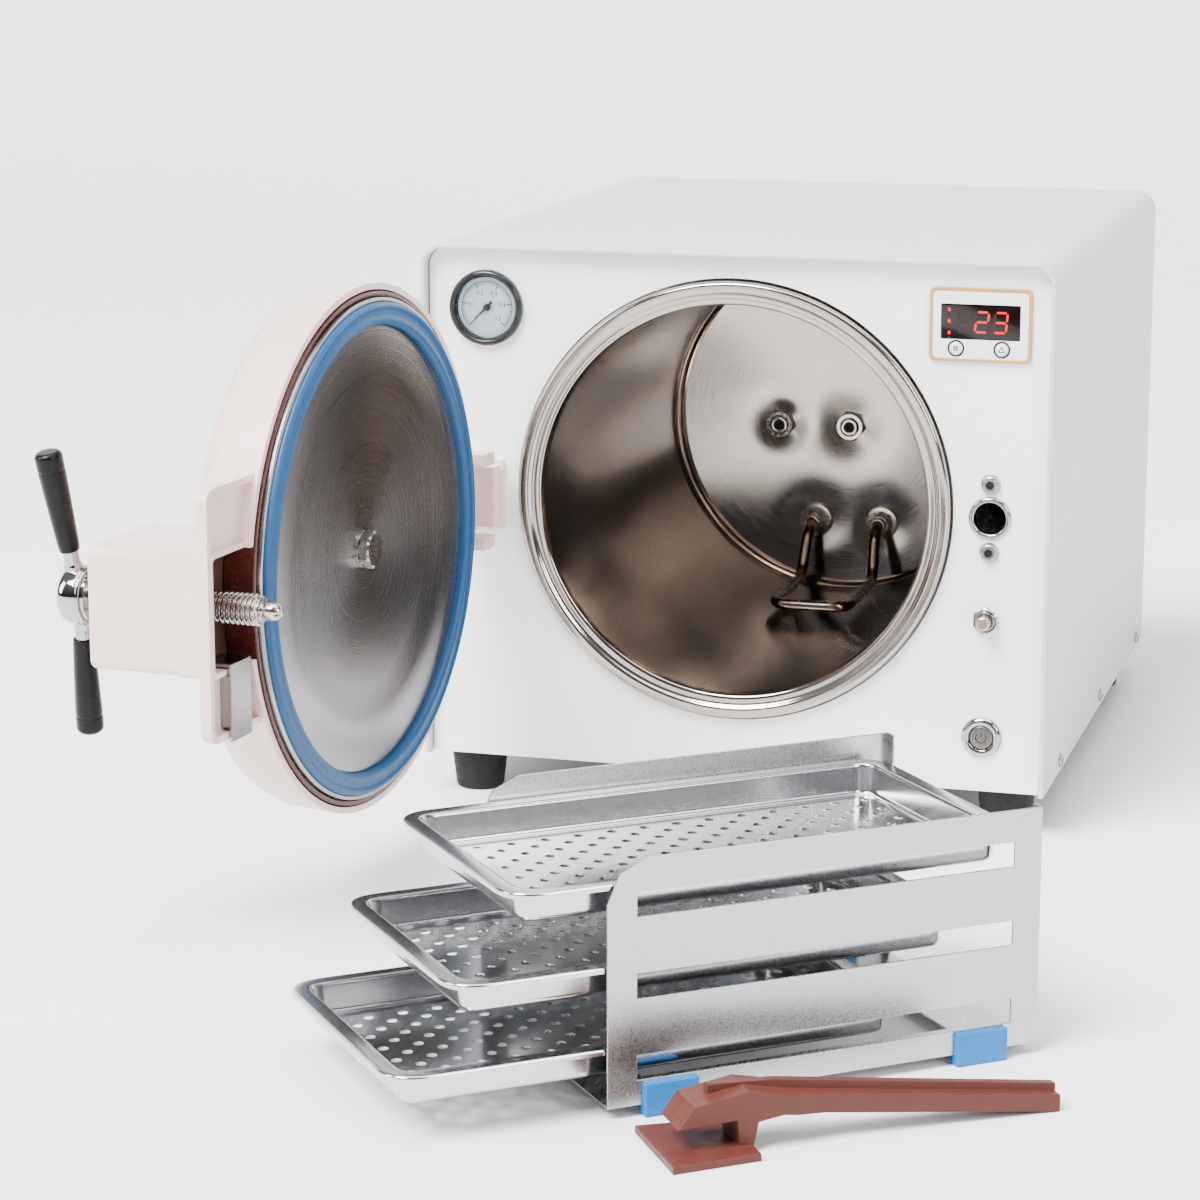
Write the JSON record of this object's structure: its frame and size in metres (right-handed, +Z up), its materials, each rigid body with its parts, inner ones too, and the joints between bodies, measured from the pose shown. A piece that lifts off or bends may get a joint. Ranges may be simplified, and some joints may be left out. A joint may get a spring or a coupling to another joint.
{
  "type": "benchtop autoclave",
  "caption": "Benchtop steam autoclave with a round hinged door on a screw lock, chamber heater, pressure gauge, display, tray rack, trays and tray handle.",
  "frame": {"origin": "centre of the footprint of everything that stands on the bench, at bench height", "axes": "+Z up, -Y is the front with the door, +X to the right seen from the front"},
  "size_m": [0.5896, 1.0977, 0.365],
  "materials": {
    "cover_paint": "satin powder coat, warm light grey",
    "panel_paint": "gloss white enamel",
    "plain_steel": "zinc-plated sheet",
    "chamber_steel": "polished stainless steel",
    "rubber_black": "matt moulded rubber",
    "screw_steel": "bright steel",
    "jacket": "glass-fibre blanket",
    "heater_sheath": "polished heater sheath, heat darkened",
    "brass": "machined brass",
    "copper_pipe": "drawn copper",
    "bezel_black": "gloss black",
    "dial_white": "printed dial",
    "needle_black": "matt black",
    "clear_glass": "clear glass",
    "gold_trim": "gold coloured border",
    "plate_white": "satin white",
    "window_black": "smoked window",
    "board_green": "circuit board",
    "key_white": "satin white key",
    "switch_steel": "satin stainless",
    "chrome": "chrome plate",
    "shell_plastic": "moulded plastic, pinkish beige",
    "liner_brown": "dark brown phenolic",
    "door_steel": "turned stainless steel",
    "seal_blue": "silicone rubber",
    "grip_black": "gloss phenolic",
    "rack_steel": "matt stainless sheet",
    "tray_steel": "pressed stainless sheet",
    "clip_cyan": "blue plastic",
    "handle_brown": "brown phenolic"
  },
  "bodies": {
    "case": {"wrap_cover": "cover_paint", "base_plate": "plain_steel", "front_panel": "panel_paint", "rear_panel": "cover_paint", "feet": "rubber_black", "case_screws": "screw_steel", "chamber_vessel": "chamber_steel", "chamber_back": "chamber_steel", "yoke_plate": "plain_steel", "insulation_jacket": "jacket", "chamber_saddles": "plain_steel", "heater_element": "heater_sheath", "heater_glands": "chamber_steel", "steam_ports": "chamber_steel", "steam_pipes": "copper_pipe", "drain_valve": "brass", "exhaust_outlet": "brass", "safety_valve": "brass", "gauge_case": "bezel_black", "gauge_dial": "dial_white", "gauge_lens": "clear_glass", "display_frame": "gold_trim", "display_plate": "plate_white", "display_window": "window_black", "display_board": "board_green", "lock_nut": "chrome", "lock_nut_screws": "screw_steel", "switch_nut": "chrome", "door_microswitch": "bezel_black", "power_switch": "switch_steel", "control_board": "board_green", "transformer": "plain_steel", "thermal_cutout": "plain_steel", "mains_inlet": "bezel_black", "fuse_holder": "bezel_black", "hinge_bracket": "plain_steel"},
    "door": {"hinge_pin": "chrome", "door_beam": "liner_brown", "door_shell": "shell_plastic", "door_liner": "liner_brown", "door_plate": "door_steel", "door_seal": "seal_blue", "plate_bolt": "screw_steel", "lock_bush": "chrome", "striker": "switch_steel"},
    "lock_collar": {"thrust_washer": "chrome"},
    "lock_handle": {"lock_screw": "chrome", "lock_hub": "chrome", "handle_grips": "grip_black"},
    "needle": {"gauge_needle": "needle_black"},
    "set_key": {"set_button": "key_white"},
    "up_key": {"up_button": "key_white"},
    "power_key": {"power_button": "switch_steel"},
    "door_plunger": {"switch_plunger": "chrome"},
    "rack": {"tray_rack": "rack_steel", "rack_clips": "clip_cyan"},
    "top_tray": {"top_tray": "tray_steel"},
    "middle_tray": {"middle_tray": "tray_steel"},
    "bottom_tray": {"bottom_tray": "tray_steel"},
    "handle_tool": {"tray_handle": "handle_brown"}
  },
  "joints": [
    {"name": "door_hinge", "type": "hinge", "parent": "case", "child": "door", "pos_m": [-0.1671, 0.0341, 0.204], "axis": [0, 0, 1], "range_deg": [-20, 95]},
    {"name": "lock_feed", "type": "slide", "parent": "door", "child": "lock_collar", "axis": [0.9962, -0.0872, 0], "range_m": [0, 0.0087]},
    {"name": "lock_turn", "type": "hinge", "parent": "lock_collar", "child": "lock_handle", "pos_m": [-0.27097, -0.29721, 0.204], "axis": [0.9962, -0.0872, 0], "range_deg": [0, 1040]},
    {"name": "needle_turn", "type": "hinge", "parent": "case", "child": "needle", "pos_m": [-0.1564, 0.0659, 0.3242], "axis": [0, 1, 0], "range_deg": [0, 270], "stiffness_Nm_per_rad": 0.0004},
    {"name": "set_press", "type": "slide", "parent": "case", "child": "set_key", "axis": [0, 1, 0], "range_m": [0, 0.001], "stiffness_N_per_m": 300},
    {"name": "up_press", "type": "slide", "parent": "case", "child": "up_key", "axis": [0, 1, 0], "range_m": [0, 0.001], "stiffness_N_per_m": 300},
    {"name": "power_press", "type": "slide", "parent": "case", "child": "power_key", "axis": [0, 1, 0], "range_m": [0, 0.002], "stiffness_N_per_m": 400},
    {"name": "plunger_press", "type": "slide", "parent": "case", "child": "door_plunger", "axis": [0, 1, 0], "range_m": [0, 0.004], "stiffness_N_per_m": 300},
    {"name": "rack_lift", "type": "slide", "parent": "case", "child": "rack", "axis": [0, 0, 1], "range_m": [0, 0.15]},
    {"name": "top_tray_slide", "type": "slide", "parent": "rack", "child": "top_tray", "axis": [-0.766, -0.6428, 0], "range_m": [-0.006, 0.09]},
    {"name": "middle_tray_slide", "type": "slide", "parent": "rack", "child": "middle_tray", "axis": [-0.766, -0.6428, 0], "range_m": [-0.036, 0.09]},
    {"name": "bottom_tray_slide", "type": "slide", "parent": "rack", "child": "bottom_tray", "axis": [-0.766, -0.6428, 0], "range_m": [-0.068, 0.06]},
    {"name": "tool_lift", "type": "slide", "parent": "case", "child": "handle_tool", "axis": [0, 0, 1], "range_m": [0, 0.15]}
  ],
  "couplings": [
    {"joint": "lock_feed", "follows": "lock_turn", "m_per_rad": 0.00047746}
  ]
}
